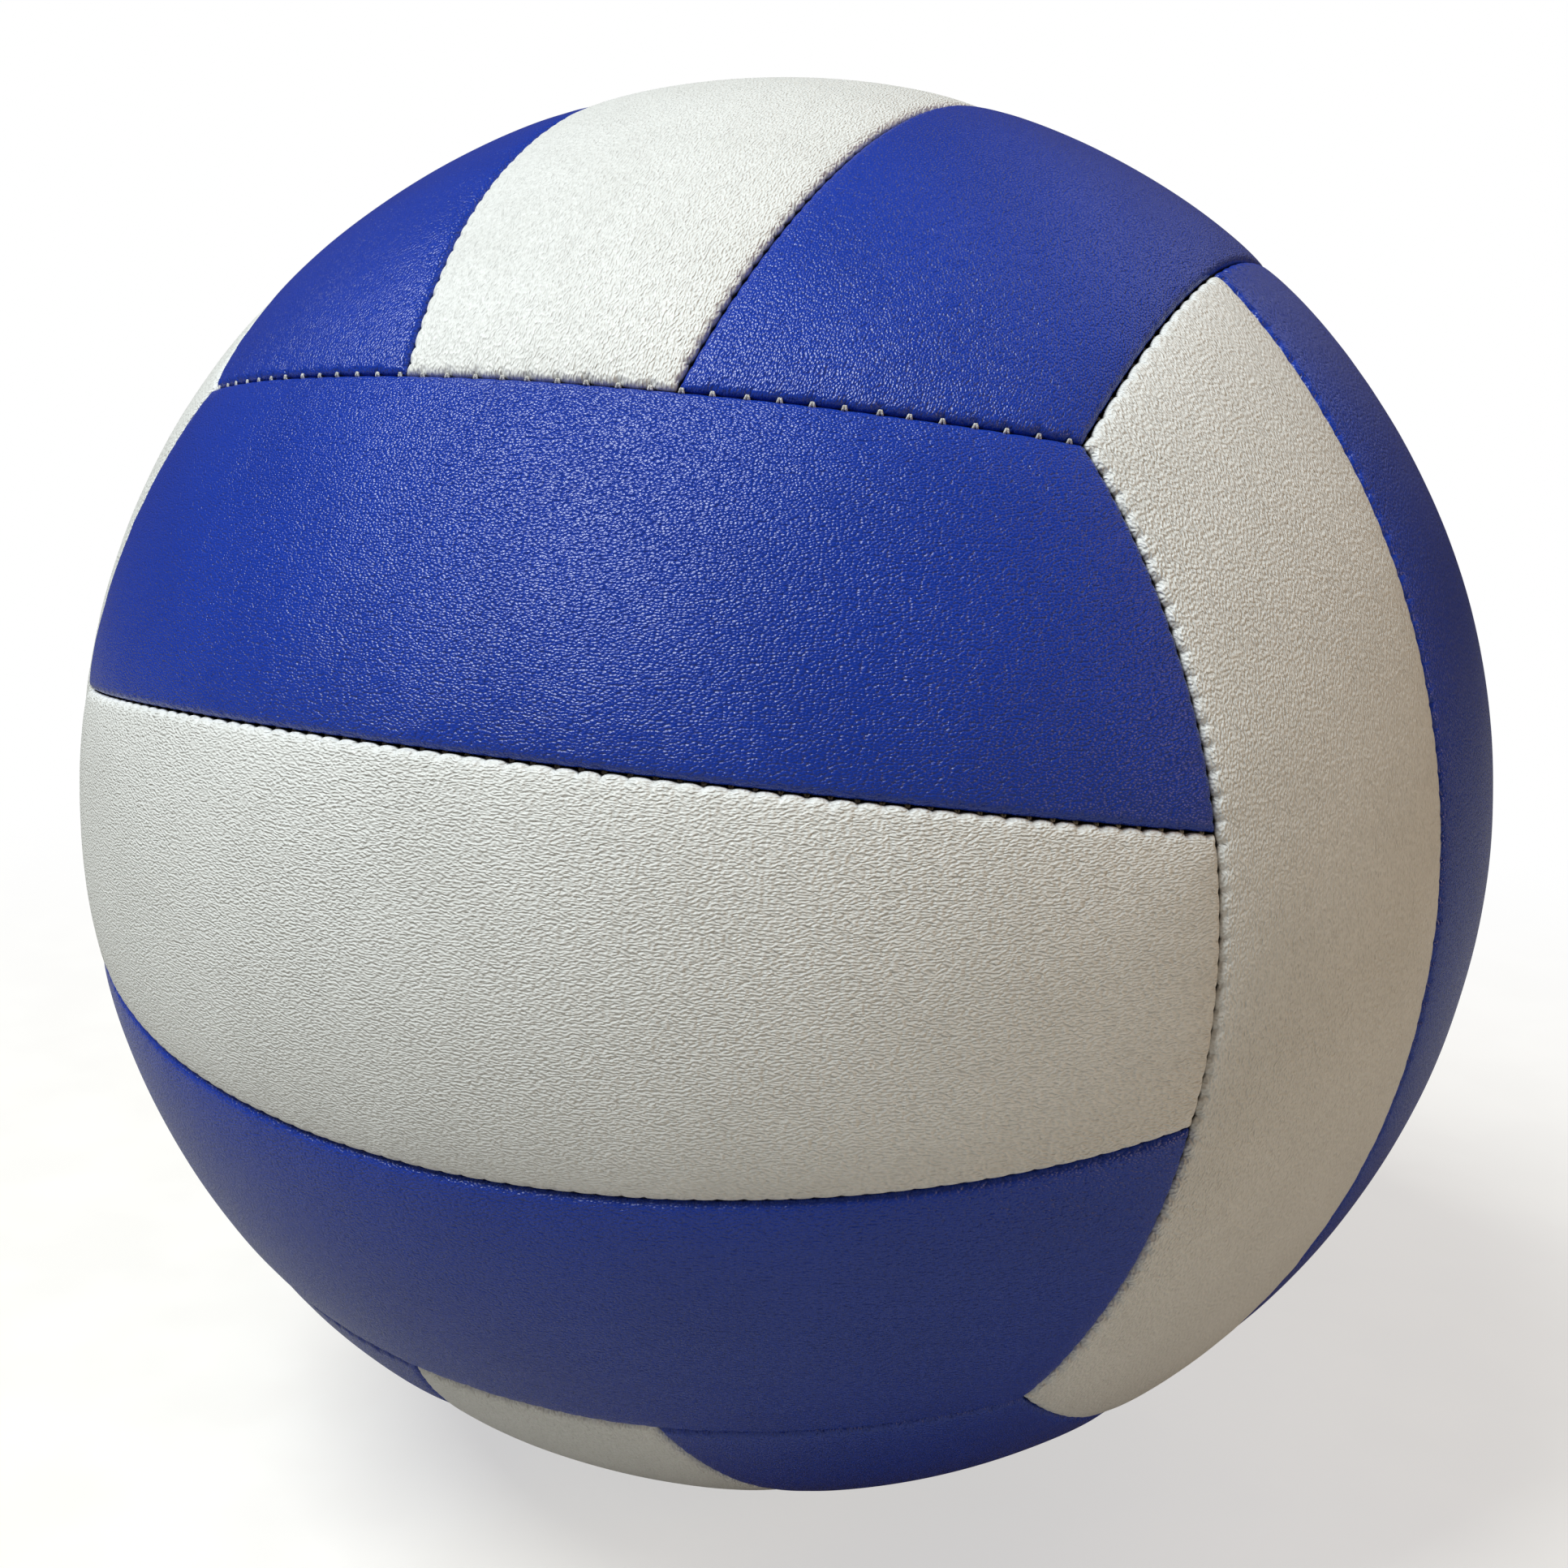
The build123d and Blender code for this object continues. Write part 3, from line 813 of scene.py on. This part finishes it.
def floor_material():
    """Pale speckled paint, which the camera sees fade into a white backdrop away from the ball."""
    tree = material_tree("floor")
    spot = tree.add("ShaderNodeTexCoord").outputs["Object"]
    speckle = tree.noise(spot, FLOOR_SPECKLE_SCALE, detail=2.0, roughness=0.5)
    paint = tree.mix(tree.ramp(speckle, *FLOOR_SPECKLE_RANGE, 0.0, 1.0), *FLOOR_COLOURS)
    plain = tree.add("ShaderNodeBsdfDiffuse", Color=paint).outputs[0]
    glow = tree.add("ShaderNodeEmission", Color=BACKDROP, Strength=FLOOR_GLOW).outputs[0]
    lit = tree.joined("ShaderNodeAddShader", plain, glow)
    backdrop = tree.add("ShaderNodeEmission", Color=BACKDROP, Strength=1.0).outputs[0]
    far = tree.ramp(tree.vector("LENGTH", spot).outputs["Value"], *FLOOR_FADE_RANGE, 0.0, 1.0)
    far.node.interpolation_type = "SMOOTHSTEP"
    shown = tree.joined("ShaderNodeMixShader", lit, backdrop, far)
    seen = tree.add("ShaderNodeLightPath").outputs["Is Camera Ray"]
    return tree.surfaced(tree.joined("ShaderNodeMixShader", plain, shown, seen))


def make_floor():
    """Flat floor under the ball."""
    mesh = bpy.data.meshes.new("floor")
    corners = [(-1, -1), (1, -1), (1, 1), (-1, 1)]
    mesh.from_pydata([(x * FLOOR_REACH, y * FLOOR_REACH, 0) for x, y in corners], [], [(0, 1, 2, 3)])
    floor = bpy.data.objects.new("floor", mesh)
    floor.location.z = -RADIUS * MM
    bpy.context.collection.objects.link(floor)
    mesh.materials.append(floor_material())


def make_world():
    """Faint warm light from all round, in place of which the camera sees a white backdrop."""
    tree = NodeTree(bpy.data.worlds.new("studio"))
    ambient = tree.add("ShaderNodeBackground", Color=AMBIENT, Strength=AMBIENT_STRENGTH).outputs[0]
    backdrop = tree.add("ShaderNodeBackground", Color=BACKDROP, Strength=1.0).outputs[0]
    seen = tree.add("ShaderNodeLightPath").outputs["Is Camera Ray"]
    shown = tree.joined("ShaderNodeMixShader", ambient, backdrop, seen)
    bpy.context.scene.world = tree.surfaced(shown, "ShaderNodeOutputWorld")


make_floor()
make_world()

# Lamps and camera: angles in degrees, distances and lamp sizes in metres, power in watts, sensor and lens
# in millimetres, shift in the photo's pixels.
LAMP_DISTANCE = 1.3
LAMPS = {
    "key": dict(azimuth=-33, elevation=58, size=0.6, power=20.0, colour=(0.93, 1.0, 1.0)),
    "fill": dict(azimuth=88, elevation=12, size=0.6, power=3.4, colour=(1.0, 0.72, 0.45)),
    "rim": dict(azimuth=150, elevation=42, size=0.9, power=1.8, colour=(1.0, 0.96, 0.92)),
}
CAMERA_RIGHT = (0.92096, 0.38833, 0.03219)
CAMERA_UP = (-0.12082, 0.20605, 0.97105)
CAMERA_BACK = (0.37046, -0.89819, 0.23668)
CAMERA_DISTANCE = 0.3319
CAMERA_NEAREST = 0.01
CAMERA_SENSOR = 36.0
CAMERA_LENS = 48.7
CAMERA_SHIFT = (-2.25, 0.3)
PHOTO_SIZE = 1932


def looking_at_ball(right, up, back, distance):
    """Place of a lamp or camera that looks at the ball's centre, from the directions of its own axes."""
    place = Matrix(np.array([right, up, back]).T.tolist()).to_4x4()
    place.translation = np.array(back) * distance
    return place


def make_lamp(name, azimuth, elevation, size, power, colour):
    """Square soft lamp that looks at the ball; its azimuth goes from the front towards the right."""
    data = bpy.data.lights.new(name, "AREA")
    data.shape = "SQUARE"
    data.size = size
    data.energy = power
    data.color = colour
    lamp = bpy.data.objects.new(name, data)
    turn, rise = math.radians(azimuth), math.radians(elevation)
    back = unit(math.cos(rise) * math.sin(turn), -math.cos(rise) * math.cos(turn), math.sin(rise))
    right = np.cross((0, 0, 1), back)
    right /= np.linalg.norm(right)
    lamp.matrix_world = looking_at_ball(right, np.cross(back, right), back, LAMP_DISTANCE)
    bpy.context.collection.objects.link(lamp)


def make_camera():
    """Camera at the photo's place, with its view."""
    data = bpy.data.cameras.new("camera")
    data.sensor_width = CAMERA_SENSOR
    data.lens = CAMERA_LENS
    data.shift_x = CAMERA_SHIFT[0] / PHOTO_SIZE
    data.shift_y = CAMERA_SHIFT[1] / PHOTO_SIZE
    data.clip_start = CAMERA_NEAREST
    camera = bpy.data.objects.new("camera", data)
    camera.matrix_world = looking_at_ball(CAMERA_RIGHT, CAMERA_UP, CAMERA_BACK, CAMERA_DISTANCE)
    bpy.context.collection.objects.link(camera)
    bpy.context.scene.camera = camera


for name, settings in LAMPS.items():
    make_lamp(name, **settings)
make_camera()
bpy.context.scene.view_settings.view_transform = "Standard"
